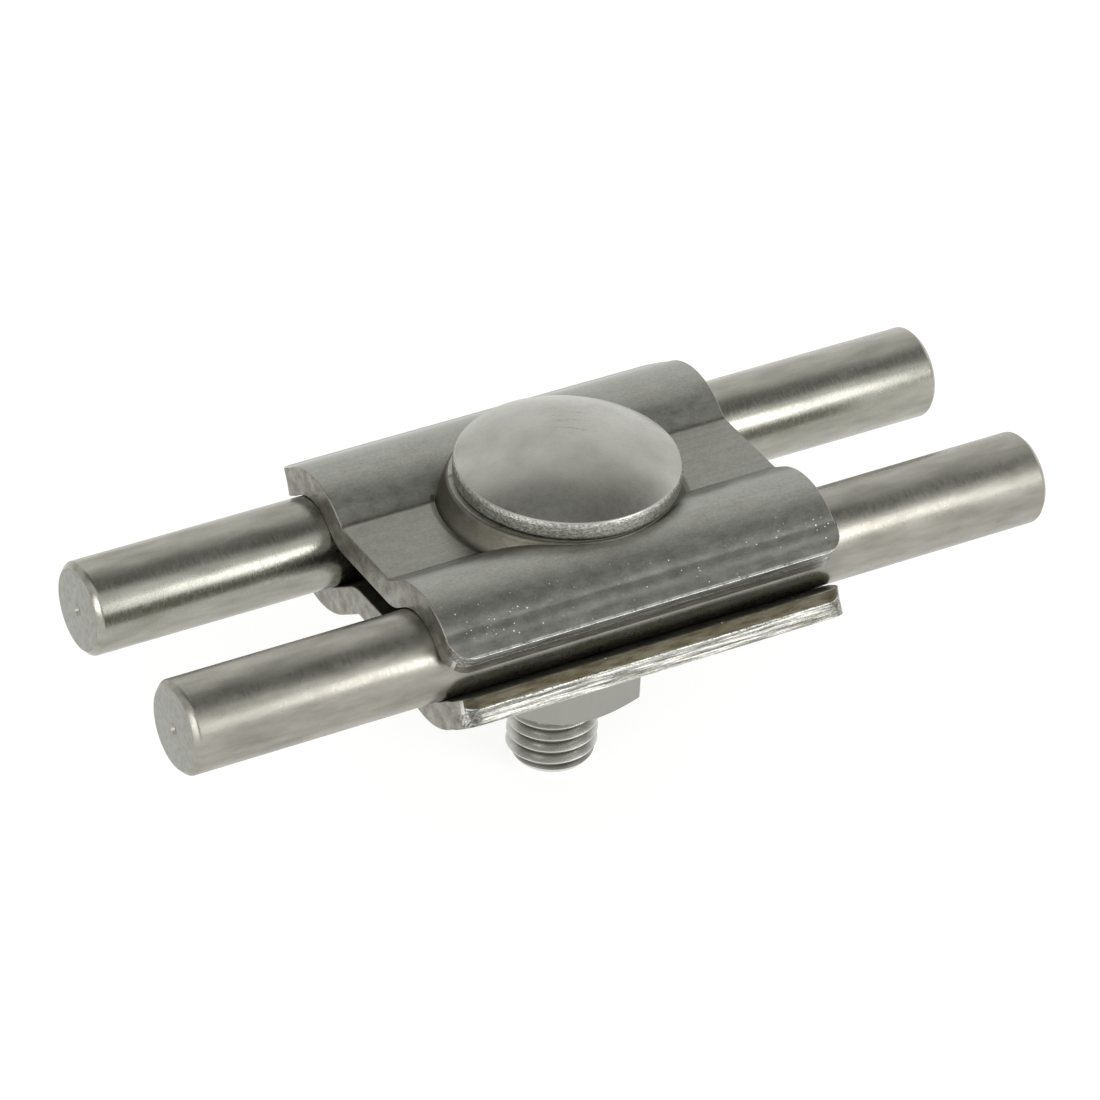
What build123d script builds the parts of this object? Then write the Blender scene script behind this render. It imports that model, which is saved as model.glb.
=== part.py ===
from build123d import *
from math import cos, radians, sin, tan
import os

# Parallel connector: two pressed steel plates clamp two round conductors side by side,
# drawn together by one saucer-head bolt and its nut.
# The conductors lie along X and the bolt stands on Z. The origin is on the bolt's axis, at
# the height of the conductors' axes. All sizes are in millimetres.

# Round conductors, cut short beside the connector
conductor_dia = 10.0
conductor_length = 101.0
conductor_spacing = 22.24
conductor_chamfer = 0.6
centre_mark_dia = 1.4
centre_mark_depth = 0.3
back_conductor_shift = -0.1
front_conductor_shift = -0.6

# Pressed sheet of both plates: a groove has a round back and two sloping sides, and its
# outer side runs out as a flat lip
sheet = 3.0
plate_length = 46.0
groove_gap = 0.1
side_angle = 34.0
lip_length = 4.6
corner_radius = 2.5
crease_radius = 0.8
edge_break = 0.4

# Round seat drawn out of each plate for the head and for the nut
seat_dia = 25.6
seat_draft = 10.0
seat_shoulder = 0.3

# Where the plates differ: the height of the web's inner face above the conductors' axes,
# and how far the seat stands proud of the grooves' backs
upper_web_height = 2.65
lower_web_height = 1.4
upper_seat_rise = 0.2
lower_seat_rise = 1.1

# Bolt with a saucer head and a square neck
bolt_dia = 9.8
bolt_length = 35.4
head_dia = 23.8
head_height = 5.4
rim_height = 1.9
rim_break = 0.3
neck_side = 10.0
neck_length = 4.8
neck_corner = 0.8
tip_dia = 8.0
tip_taper = 1.3

# Hexagon nut
nut_flats = 17.0
nut_height = 8.4
nut_face_dia = 16.2
nut_chamfer_angle = 30.0
nut_turn = 4.0
thread_gap = 0.05
bore_mouth = 0.6

# Play of the bolt in the plates' holes, and the share of it that each plate has slid
neck_play = 0.7
shank_play = 0.8
slid_share = 0.85

# Worked out from the sizes above
half_spacing = conductor_spacing / 2
groove_radius = conductor_dia / 2 + groove_gap
back_radius = groove_radius + sheet
upper_seat_level = back_radius + upper_seat_rise
lower_seat_level = back_radius + lower_seat_rise
upper_plate_shift = -slid_share * neck_play
lower_plate_shift = slid_share * shank_play
form_floor = -conductor_dia
punch_overrun = sheet


def press_form(distance, web, crease, overrun, shift):
    # The mass under one skin of the sheet, over the plate's length. The skin runs at the
    # given distance round each conductor's axis and at the level named web between the
    # grooves. The lip is cut square to the sheet, and the overrun clears the cut.
    lean = radians(side_angle)
    outward = (sin(lean), cos(lean))
    thickness = distance - groove_radius
    web_end = (half_spacing - (distance - web * outward[1]) / outward[0], web)
    back_start = (half_spacing - distance * outward[0], distance * outward[1])
    back_end = (half_spacing + distance * outward[0], distance * outward[1])
    lip = (back_end[0] + lip_length * outward[1], back_end[1] - lip_length * outward[0])
    lip_foot = (lip[0] - thickness * outward[0], lip[1] - thickness * outward[1])
    side = lip_foot[0] + overrun
    floor = form_floor - overrun
    with BuildPart() as form:
        with BuildSketch(Plane.YZ.offset(shift - plate_length / 2 - overrun)) as section:
            with BuildLine():
                Polyline((0, floor), (0, web), web_end, back_start)
                ThreePointArc(back_start, (half_spacing, distance), back_end)
                Line(back_end, lip)
                if thickness > 0:
                    Line(lip, lip_foot)
                if overrun > 0:
                    Line(lip_foot, (side, lip_foot[1]))
                Polyline((side, lip_foot[1]), (side, floor), (0, floor))
            make_face()
            mirror(about=Plane.YZ)
            web_ends = section.vertices().filter_by_position(Axis.Y, web - 0.01, web + 0.01)
            fillet([web_ends.sort_by(Axis.X)[0], web_ends.sort_by(Axis.X)[-1]], crease)
        extrude(amount=plate_length + 2 * overrun)
    return form.part


def seat_form(radius, level, shift):
    # The mass under the drawn seat's skin: a flat disc on a tapered wall
    foot = radius + level * tan(radians(seat_draft))
    with BuildPart() as form:
        with BuildSketch(Plane.XZ) as profile:
            with BuildLine():
                flank = ((shift + foot, 0), (shift + radius, level))
                Polyline((shift, 0), *flank, (shift, level), close=True)
            make_face()
            chamfer(profile.vertices().group_by(Axis.Y)[-1].sort_by(Axis.X)[-1], seat_shoulder)
        revolve(axis=Axis((shift, 0, 0), (0, 0, 1)))
    return form.part


def pressed_plate(web_height, seat_level, shift):
    # A plate without its hole, outer skin up: what the die leaves, less what the punch fills
    inner_crease = crease_radius + sheet
    with BuildPart() as plate:
        add(press_form(back_radius, web_height + sheet, crease_radius, 0, shift))
        add(seat_form(seat_dia / 2, seat_level, shift))
        add(press_form(groove_radius, web_height, inner_crease, punch_overrun, shift), mode=Mode.SUBTRACT)
        add(seat_form(seat_dia / 2 - sheet, seat_level - sheet, shift), mode=Mode.SUBTRACT)

        lip_cuts = plate.faces().sort_by(Axis.Y)
        for cut in (lip_cuts[0], lip_cuts[-1]):
            ends = cut.edges().sort_by(Axis.X)
            fillet([ends[0], ends[-1]], corner_radius)

        # The blank is cut from inside, which breaks the outer skin's whole rim
        skin = plate.faces().filter_by(lambda face: face.normal_at().Z > 0.5)
        cuts = plate.faces().filter_by(lambda face: -0.7 < face.normal_at().Z < 0.01)
        rim = [edge for edge in skin.edges() if edge in cuts.edges()]
        chamfer(rim, edge_break)
    return plate.part


os.makedirs("parts", exist_ok=True)

with BuildPart() as upper_plate:
    add(pressed_plate(upper_web_height, upper_seat_level, upper_plate_shift))
    with BuildSketch(Plane.XY.offset(upper_seat_level)):
        with Locations((upper_plate_shift, 0)):
            Rectangle(neck_side + 2 * neck_play, neck_side + 2 * neck_play)
    extrude(amount=-upper_seat_level, mode=Mode.SUBTRACT)
upper_plate.part.label = "upper_plate"
export_step(upper_plate.part, "parts/upper_plate.step")

with BuildPart() as lower_plate:
    add(pressed_plate(lower_web_height, lower_seat_level, lower_plate_shift), rotation=(180, 0, 0))
    with Locations((lower_plate_shift, 0, 0)):
        Hole(bolt_dia / 2 + shank_play)
lower_plate.part.label = "lower_plate"
export_step(lower_plate.part, "parts/lower_plate.step")

with BuildPart() as saucer_bolt:
    # Half of the bolt's section: the domed head with its rim, the shank and the tip
    head_top = upper_seat_level + head_height
    rim_top = upper_seat_level + rim_height
    tip_level = upper_seat_level - bolt_length
    dome_height = head_height - rim_height
    dome_radius = ((head_dia / 2) ** 2 + dome_height ** 2) / (2 * dome_height)
    with BuildSketch(Plane.XZ) as half_bolt:
        with BuildLine():
            RadiusArc((0, head_top), (head_dia / 2, rim_top), dome_radius)
            Polyline(
                (head_dia / 2, rim_top),
                (head_dia / 2, upper_seat_level),
                (bolt_dia / 2, upper_seat_level),
                (bolt_dia / 2, tip_level + tip_taper),
                (tip_dia / 2, tip_level),
                (0, tip_level),
                (0, head_top),
            )
        make_face()
        rim_corners = half_bolt.vertices().group_by(Axis.X)[-1]
        chamfer(rim_corners, rim_break)
    revolve(axis=Axis.Z)
    with BuildSketch(Plane.XY.offset(upper_seat_level)) as neck:
        Rectangle(neck_side, neck_side)
        chamfer(neck.vertices(), neck_corner)
    extrude(amount=-neck_length)
saucer_bolt.part.label = "saucer_bolt"
export_step(saucer_bolt.part, "parts/saucer_bolt.step")

with BuildPart() as hex_nut:
    with BuildSketch(Plane.XY.offset(-lower_seat_level - nut_height)):
        RegularPolygon(nut_flats / 2, 6, major_radius=False, rotation=nut_turn)
    extrude(amount=nut_height)
    # Both faces are turned to a disc, and a cone takes off the corners, which it just passes
    face_radius = nut_face_dia / 2
    cone_radius = 0.6 * nut_flats
    cone_height = (cone_radius - face_radius) * tan(radians(nut_chamfer_angle))
    with BuildSketch(Plane.XZ):
        with BuildLine():
            Polyline(
                (0, -lower_seat_level),
                (face_radius, -lower_seat_level),
                (cone_radius, -lower_seat_level - cone_height),
                (cone_radius, -lower_seat_level - nut_height + cone_height),
                (face_radius, -lower_seat_level - nut_height),
                (0, -lower_seat_level - nut_height),
                close=True,
            )
        make_face()
    revolve(axis=Axis.Z, mode=Mode.INTERSECT)
    Hole(bolt_dia / 2 + thread_gap)
    bore_rims = hex_nut.edges().filter_by(GeomType.CIRCLE).sort_by(SortBy.RADIUS)[:2]
    chamfer(bore_rims, bore_mouth)
hex_nut.part.label = "hex_nut"
export_step(hex_nut.part, "parts/hex_nut.step")

conductors = (
    ("front_conductor", -half_spacing, front_conductor_shift),
    ("back_conductor", half_spacing, back_conductor_shift),
)
for label, place, shift in conductors:
    with BuildPart() as conductor:
        with BuildSketch(Plane.YZ.offset(shift - conductor_length / 2)):
            with Locations((place, 0)):
                Circle(conductor_dia / 2)
        extrude(amount=conductor_length)
        chamfer(conductor.edges().filter_by(GeomType.CIRCLE), conductor_chamfer)
        # Both ends keep the turning centre's small conical mark
        for inward in (1, -1):
            end = (shift - inward * conductor_length / 2, place, 0)
            with Locations(Plane(origin=end, z_dir=(inward, 0, 0))):
                at_face = (Align.CENTER, Align.CENTER, Align.MIN)
                Cone(centre_mark_dia / 2, 0, centre_mark_depth, align=at_face, mode=Mode.SUBTRACT)
    conductor.part.label = label
    export_step(conductor.part, f"parts/{label}.step")
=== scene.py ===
import bpy
import bmesh
import math
from mathutils import Matrix, Vector


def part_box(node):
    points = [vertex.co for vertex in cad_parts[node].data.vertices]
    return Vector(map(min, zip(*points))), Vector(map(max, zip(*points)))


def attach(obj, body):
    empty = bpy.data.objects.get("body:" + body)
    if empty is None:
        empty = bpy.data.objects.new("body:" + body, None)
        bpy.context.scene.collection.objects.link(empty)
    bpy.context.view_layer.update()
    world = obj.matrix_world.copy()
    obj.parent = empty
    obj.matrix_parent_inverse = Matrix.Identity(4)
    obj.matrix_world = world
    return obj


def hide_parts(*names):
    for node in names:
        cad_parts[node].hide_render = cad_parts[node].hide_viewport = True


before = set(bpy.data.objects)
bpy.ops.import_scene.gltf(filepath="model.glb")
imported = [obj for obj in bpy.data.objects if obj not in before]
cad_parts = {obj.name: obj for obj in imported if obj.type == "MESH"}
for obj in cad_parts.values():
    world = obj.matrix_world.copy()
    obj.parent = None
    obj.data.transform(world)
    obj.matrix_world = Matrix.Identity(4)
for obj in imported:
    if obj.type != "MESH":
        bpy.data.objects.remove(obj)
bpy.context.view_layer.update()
mm = 0.001
slack = 0.01 * mm  # how far a vertex may be off the place it is picked by
smoothAngle = math.radians(28)  # edges that turn more than this stay sharp
print("frame loaded:", ", ".join(sorted(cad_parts)))


# Small tools for modelling and materials

def srgb(code):
    channels = [int(code[start:start + 2], 16) / 255 for start in (1, 3, 5)]
    linear = [share / 12.92 if share <= 0.04045 else ((share + 0.055) / 1.055) ** 2.4 for share in channels]
    return (*linear, 1.0)


def fillNode(tree, node, settings, links):
    for name, value in settings.items():
        if name == "stops":
            for extra in value[2:]:
                node.color_ramp.elements.new(extra[0])
            for stop, (position, code) in zip(node.color_ramp.elements, value):
                stop.position = position
                stop.color = srgb(code)
        elif name == "span":  # where a Map Range node starts and ends
            node.inputs["From Min"].default_value, node.inputs["From Max"].default_value = value
        elif isinstance(name, int) or name in node.inputs:
            node.inputs[name].default_value = value
        else:
            setattr(node, name, value)
    for name, source in links.items():
        tree.links.new(source, node.inputs[name])


def addNode(tree, kind, settings, links, out=0):
    node = tree.nodes.new("ShaderNode" + kind)
    fillNode(tree, node, settings, links)
    return node.outputs[out]


def soloSelect(piece):
    bpy.ops.object.select_all(action="DESELECT")
    piece.select_set(True)
    bpy.context.view_layer.objects.active = piece


def startEdit(piece, kind="VERT"):
    soloSelect(piece)
    bpy.ops.object.mode_set(mode="EDIT")
    bpy.ops.mesh.select_mode(type=kind)
    bpy.ops.mesh.select_all(action="DESELECT")


def selectAll():
    bpy.ops.mesh.select_all(action="SELECT")


def endEdit():
    bpy.ops.object.mode_set(mode="OBJECT")


def choose(piece, test, kind="VERT"):  # selects the parts that pass the test, in edit mode
    bpy.ops.mesh.select_mode(type=kind)
    bpy.ops.mesh.select_all(action="DESELECT")
    cage = bmesh.from_edit_mesh(piece.data)
    cage.normal_update()
    parts = {"VERT": cage.verts, "EDGE": cage.edges, "FACE": cage.faces}[kind]
    for part in parts:
        if test(part):
            part.select_set(True)
    bmesh.update_edit_mesh(piece.data)


def middleOf(face):
    return face.calc_center_median()


def edgeRun(edge):  # how far an edge goes along each axis
    return Vector([abs(run) for run in edge.verts[0].co - edge.verts[1].co])


def addPoint(name, place):  # a plane merged to one vertex, the start of a drawn outline
    bpy.ops.mesh.primitive_plane_add(size=mm, location=place)
    piece = bpy.context.object
    piece.name = name
    bpy.ops.object.transform_apply()
    startEdit(piece)
    selectAll()
    bpy.ops.mesh.merge(type="CENTER")
    return piece


def drawTo(here, there):  # a straight stretch of the outline
    step = Vector(there) - Vector(here)
    bpy.ops.mesh.extrude_region_move(TRANSFORM_OT_translate={"value": tuple(step)})
    return there


def drawArc(centre, degrees, axis, steps):  # a round stretch; spin turns the other way
    bpy.ops.mesh.spin(steps=steps, angle=-math.radians(degrees), center=centre, axis=axis)


def closeSeams(piece):
    startEdit(piece)
    selectAll()
    bpy.ops.mesh.remove_doubles(threshold=0.002 * mm)
    bpy.ops.mesh.normals_make_consistent(inside=False)
    endEdit()


def turnOnLathe(name, outline, axisX=0.0, steps=128):
    # The outline is a list of points, each a radius and a height, and of arcs, each its centre's
    # radius and height, its degrees and its steps
    first = outline[0]
    here = (axisX + first[0], 0, first[1])
    piece = addPoint(name, here)
    for stretch in outline[1:]:
        if len(stretch) == 2:
            here = drawTo(here, (axisX + stretch[0], 0, stretch[1]))
        else:
            centre = Vector((axisX + stretch[0], 0, stretch[1]))
            drawArc(centre, stretch[2], (0, 1, 0), stretch[3])
            here = centre + Matrix.Rotation(math.radians(stretch[2]), 3, "Y") @ (Vector(here) - centre)
    selectAll()
    bpy.ops.mesh.spin(steps=steps, angle=math.tau, center=(axisX, 0, 0), axis=(0, 0, 1))
    endEdit()
    closeSeams(piece)
    return piece


def applyModifier(piece, kind, **settings):
    modifier = piece.modifiers.new(kind.title(), kind)
    for name, value in settings.items():
        setattr(modifier, name, value)
    soloSelect(piece)
    bpy.ops.object.modifier_apply(modifier=modifier.name)


def carve(piece, tool, operation):  # a boolean that uses its tool up
    applyModifier(piece, "BOOLEAN", operation=operation, object=tool, solver="EXACT")
    bpy.data.objects.remove(tool)


def finishPiece(piece, body, node, materials):
    soloSelect(piece)
    bpy.ops.object.shade_smooth_by_angle(angle=smoothAngle)
    for material in materials:
        piece.data.materials.append(material)
    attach(piece, body)
    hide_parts(node)


def paintFaces(piece, index, test):  # gives a material slot to the faces that pass the test
    startEdit(piece, "FACE")
    choose(piece, test, "FACE")
    piece.active_material_index = index
    bpy.ops.object.material_slot_assign()
    endEdit()


# Materials

def startSteel(name, colour, roughness):
    material = bpy.data.materials.new(name)
    material.use_nodes = True
    tree = material.node_tree
    shader = tree.nodes["Principled BSDF"]
    settings = {"Metallic": 1.0, "Base Color": srgb(colour), "Roughness": roughness}
    fillNode(tree, shader, settings, {})
    return material, tree, shader, addNode(tree, "TexCoord", {}, {}, "Object")


multiply = {"operation": "MULTIPLY"}
absolute = {"operation": "ABSOLUTE"}


def perMm(x, y, z):  # the Mapping scale that gives a pattern these sizes in mm
    return (1000 / x, 1000 / y, 1000 / z)


# Stainless bar, drawn and roller-straightened: a satin skin with faint lengthwise draw lines and long
# cloudy patches. Short cross scuffs break its highlight up.
def makeDrawnBarSteel(name, roughness, darkTone, lightTone):
    material, tree, shader, place = startSteel(name, lightTone, roughness)
    linePlace = addNode(tree, "Mapping", {"Scale": perMm(14, 0.3, 0.3)}, {"Vector": place})
    lines = addNode(tree, "TexNoise", {"Scale": 1, "Detail": 3}, {"Vector": linePlace})
    scuffPlace = addNode(tree, "Mapping", {"Scale": perMm(0.35, 0.8, 0.8)}, {"Vector": place})
    scuffs = addNode(tree, "TexNoise", {"Scale": 1, "Detail": 4, "Roughness": 0.65},
                     {"Vector": scuffPlace})
    cloudPlace = addNode(tree, "Mapping", {"Scale": perMm(6, 1.6, 1.6)}, {"Vector": place})
    clouds = addNode(tree, "TexNoise", {"Scale": 1, "Detail": 5}, {"Vector": cloudPlace})
    tone = addNode(tree, "ValToRGB", {"stops": [(0.3, darkTone), (0.7, lightTone)]}, {"Fac": clouds})
    spreadEnds = {"span": (0.3, 0.7), "To Min": roughness - 0.05, "To Max": roughness + 0.08}
    spread = addNode(tree, "MapRange", spreadEnds, {"Value": scuffs})
    drawn = addNode(tree, "Bump", {"Strength": 0.5, "Distance": 0.004 * mm}, {"Height": lines})
    scuffed = addNode(tree, "Bump", {"Strength": 0.5, "Distance": 0.0035 * mm},
                      {"Height": scuffs, "Normal": drawn})
    fillNode(tree, shader, {}, {"Base Color": tone, "Roughness": spread, "Normal": scuffed})
    return material


# The bar's end, faced on a lathe: fine rings about the bar's own axis
def makeFacedEndSteel(name, axisY):
    material, tree, shader, place = startSteel(name, "#9b9b94", 0.38)
    centred = addNode(tree, "Mapping", {"Location": (0, -axisY, 0), "Scale": (0, 1, 1)}, {"Vector": place})
    radius = addNode(tree, "VectorMath", {"operation": "LENGTH"}, {0: centred}, "Value")
    turns = addNode(tree, "Math", {"operation": "MULTIPLY", 1: math.tau / (0.45 * mm)}, {0: radius})
    rings = addNode(tree, "Math", {"operation": "SINE"}, {0: turns})
    grainPlace = addNode(tree, "Mapping", {"Scale": perMm(0.6, 0.6, 0.6)}, {"Vector": place})
    grain = addNode(tree, "TexNoise", {"Scale": 1, "Detail": 4}, {"Vector": grainPlace})
    tone = addNode(tree, "ValToRGB", {"stops": [(0.3, "#90908a"), (0.7, "#a3a39c")]}, {"Fac": grain})
    ringed = addNode(tree, "Bump", {"Strength": 0.3, "Distance": 0.004 * mm}, {"Height": rings})
    grained = addNode(tree, "Bump", {"Strength": 0.4, "Distance": 0.01 * mm},
                      {"Height": grain, "Normal": ringed})
    fillNode(tree, shader, {}, {"Base Color": tone, "Normal": grained})
    return material


# Where the sheet's marks, its painted shade and its painted highlights lie, from the bolt's axis and above
# the conductors' axes
sheetMarksAndPaintedLight = {
    "outsideLevel": 5 * mm,
    "webTop": 6.1 * mm,
    "paintedShadeFront": (-9.2 * mm, -7.8 * mm),
    "paintedShadeBack": (5.6 * mm, 5.1 * mm),
    "paintedHighlightLine": 17.9 * mm,
    "paintedEdgeGlints": (18.94 * mm, 19.04 * mm),
    "crease": 5.3 * mm,
    "seatFoot": 13.33 * mm,
    "upperPlateShift": -0.595 * mm,
    "grit": (-12.5 * mm, -16 * mm),
}


# Cold-rolled stainless sheet after pressing: satin and finely grained, with painted shade on the web,
# and painted highlights in a line where the die let go of each groove and in dots along the lips' edges.
# It is darker along the web's creases, with painted shade round the seat's foot, and has specks of white grit
# low on the front.
def makePressedSheetSteel():
    material, tree, shader, place = startSteel("pressed-sheet-stainless", "#9a9a93", 0.36)
    grainPlace = addNode(tree, "Mapping", {"Scale": perMm(0.3, 0.25, 0.25)}, {"Vector": place})
    grain = addNode(tree, "TexNoise", {"Scale": 1, "Detail": 4, "Roughness": 0.7}, {"Vector": grainPlace})
    mottlePlace = addNode(tree, "Mapping", {"Scale": perMm(2.2, 1.4, 1.4)}, {"Vector": place})
    mottle = addNode(tree, "TexNoise", {"Scale": 1, "Detail": 6, "Roughness": 0.66},
                     {"Vector": mottlePlace})
    drawPlace = addNode(tree, "Mapping", {"Scale": perMm(18, 0.5, 0.5)}, {"Vector": place})
    drawMarks = addNode(tree, "TexNoise", {"Scale": 1, "Detail": 3}, {"Vector": drawPlace})
    toneGrain = addNode(tree, "Math", {"operation": "MULTIPLY_ADD", 1: 0.45, 2: 0.02}, {0: grain})
    toneDrawn = addNode(tree, "Math", {"operation": "MULTIPLY_ADD", 1: 0.15}, {0: drawMarks, 2: toneGrain})
    toneMix = addNode(tree, "Math", {"operation": "MULTIPLY_ADD", 1: 0.4}, {0: mottle, 2: toneDrawn})
    tone = addNode(tree, "ValToRGB", {"stops": [(0.38, "#8a8a82"), (0.66, "#a7a8a1")]}, {"Fac": toneMix})

    # Painted shade: the web and the slope in front of it, down between the grooves, are darkened
    placeY = addNode(tree, "SeparateXYZ", {}, {"Vector": place}, "Y")
    placeZ = addNode(tree, "SeparateXYZ", {}, {"Vector": place}, "Z")
    outside = addNode(tree, "Math", {"operation": "GREATER_THAN", 1: sheetMarksAndPaintedLight["outsideLevel"]}, {0: placeZ})
    paintedShadeFront = addNode(tree, "MapRange", {"span": sheetMarksAndPaintedLight["paintedShadeFront"]}, {"Value": placeY})
    paintedShadeBack = addNode(tree, "MapRange", {"span": sheetMarksAndPaintedLight["paintedShadeBack"]}, {"Value": placeY})
    held = addNode(tree, "Math", multiply, {0: paintedShadeFront, 1: paintedShadeBack})
    # dull is the share of painted shade, on the outside only
    dull = addNode(tree, "Math", multiply, {0: held, 1: outside})
    webShadePainted = addNode(tree, "Mix", {"data_type": "RGBA", "blend_type": "MULTIPLY", 7: srgb("#e4e4e2")},
                     {0: dull, 6: tone}, 2)

    # Painted highlights: a pale line at each groove's foot, which wanders a little, and pale dots along the
    # lips' edges
    awayY = addNode(tree, "Math", absolute, {0: placeY})
    wanderPlace = addNode(tree, "Mapping", {"Scale": perMm(1.1, 1.1, 1.1)}, {"Vector": place})
    wander = addNode(tree, "TexNoise", {"Scale": 1, "Detail": 4, "Roughness": 0.75},
                     {"Vector": wanderPlace})
    wandering = addNode(tree, "Math", {"operation": "MULTIPLY_ADD", 1: 0.5 * mm}, {0: wander, 2: awayY})
    offLine = addNode(tree, "Math", {"operation": "SUBTRACT", 1: sheetMarksAndPaintedLight["paintedHighlightLine"]}, {0: wandering})
    farLine = addNode(tree, "Math", absolute, {0: offLine})
    onLine = addNode(tree, "MapRange", {"span": (0.55 * mm, 0.1 * mm), "To Max": 0.75}, {"Value": farLine})
    paintedHighlightLine = addNode(tree, "Math", multiply, {0: onLine, 1: wander})
    onEdge = addNode(tree, "MapRange", {"span": sheetMarksAndPaintedLight["paintedEdgeGlints"]}, {"Value": awayY})
    edgeDots = addNode(tree, "MapRange", {"span": (0.36, 0.52)}, {"Value": wander})
    paintedEdgeGlints = addNode(tree, "Math", multiply, {0: onEdge, 1: edgeDots})
    paintedHighlightHere = addNode(tree, "Math", {"operation": "MAXIMUM"}, {0: paintedHighlightLine, 1: paintedEdgeGlints})
    # The painted highlights are mixed in, pale, over the painted shade
    paintedShadeAndHighlight = addNode(tree, "Mix", {"data_type": "RGBA", 7: srgb("#dededa")}, {0: paintedHighlightHere, 6: webShadePainted}, 2)

    # Darker along the web's creases, and painted shade round the seat's foot, on the outside only
    offCrease = addNode(tree, "Math", {"operation": "SUBTRACT", 1: sheetMarksAndPaintedLight["crease"]}, {0: wandering})
    farCrease = addNode(tree, "Math", absolute, {0: offCrease})
    inCrease = addNode(tree, "MapRange", {"span": (0.3 * mm, 0.05 * mm), "To Max": 0.6}, {"Value": farCrease})
    boltedPlace = addNode(tree, "Mapping", {"Location": (-sheetMarksAndPaintedLight["upperPlateShift"], 0, 0), "Scale": (1, 1, 0)},
                          {"Vector": place})
    boltFar = addNode(tree, "VectorMath", {"operation": "LENGTH"}, {0: boltedPlace}, "Value")
    offFoot = addNode(tree, "Math", {"operation": "SUBTRACT", 1: sheetMarksAndPaintedLight["seatFoot"]}, {0: boltFar})
    farFoot = addNode(tree, "Math", absolute, {0: offFoot})
    atFoot = addNode(tree, "MapRange", {"span": (0.42 * mm, 0.12 * mm), "To Max": 0.85}, {"Value": farFoot})
    onWeb = addNode(tree, "Math", {"operation": "LESS_THAN", 1: sheetMarksAndPaintedLight["webTop"]}, {0: placeZ})
    paintedFootShade = addNode(tree, "Math", multiply, {0: atFoot, 1: onWeb})
    creased = addNode(tree, "Math", {"operation": "MAXIMUM"}, {0: inCrease, 1: paintedFootShade})
    creaseDarkAndFootShade = addNode(tree, "Math", multiply, {0: creased, 1: outside})
    steel = addNode(tree, "Mix", {"data_type": "RGBA", 7: srgb("#5c5a50")}, {0: creaseDarkAndFootShade, 6: paintedShadeAndHighlight}, 2)

    # Grit: one speck in each cell that is picked, in heaps
    gritPlace = addNode(tree, "Mapping", {"Scale": perMm(0.48, 0.48, 0.48)}, {"Vector": place})
    gritFar = addNode(tree, "TexVoronoi", {"Scale": 1}, {"Vector": gritPlace})
    gritPick = addNode(tree, "TexVoronoi", {"Scale": 1}, {"Vector": gritPlace}, "Color")
    gritRed = addNode(tree, "SeparateColor", {}, {"Color": gritPick}, "Red")
    gritSize = addNode(tree, "MapRange", {"span": (0.35, 1.0), "To Max": 0.19}, {"Value": gritRed})
    gritHere = addNode(tree, "Math", {"operation": "LESS_THAN"}, {0: gritFar, 1: gritSize})
    low = addNode(tree, "MapRange", {"span": sheetMarksAndPaintedLight["grit"]}, {"Value": placeY})
    heapPlace = addNode(tree, "Mapping", {"Scale": perMm(5, 5, 5)}, {"Vector": place})
    heaps = addNode(tree, "TexNoise", {"Scale": 1, "Detail": 2}, {"Vector": heapPlace})
    heaped = addNode(tree, "MapRange", {"span": (0.35, 0.55)}, {"Value": heaps})
    lowHeaped = addNode(tree, "Math", multiply, {0: low, 1: heaped})
    grit = addNode(tree, "Math", multiply, {0: gritHere, 1: lowHeaped})
    colour = addNode(tree, "Mix", {"data_type": "RGBA", 7: srgb("#ecece6")}, {0: grit, 6: steel}, 2)
    metal = addNode(tree, "Math", {"operation": "SUBTRACT", 0: 1.0}, {1: grit})

    spread = addNode(tree, "MapRange", {"span": (0.3, 0.7), "To Min": 0.31, "To Max": 0.41},
                     {"Value": mottle})
    soft = addNode(tree, "Bump", {"Strength": 0.3, "Distance": 0.015 * mm}, {"Height": mottle})
    grained = addNode(tree, "Bump", {"Strength": 0.5, "Distance": 0.012 * mm},
                      {"Height": grain, "Normal": soft})
    fillNode(tree, shader, {},
             {"Base Color": colour, "Metallic": metal, "Roughness": spread, "Normal": grained})
    return material


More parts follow.
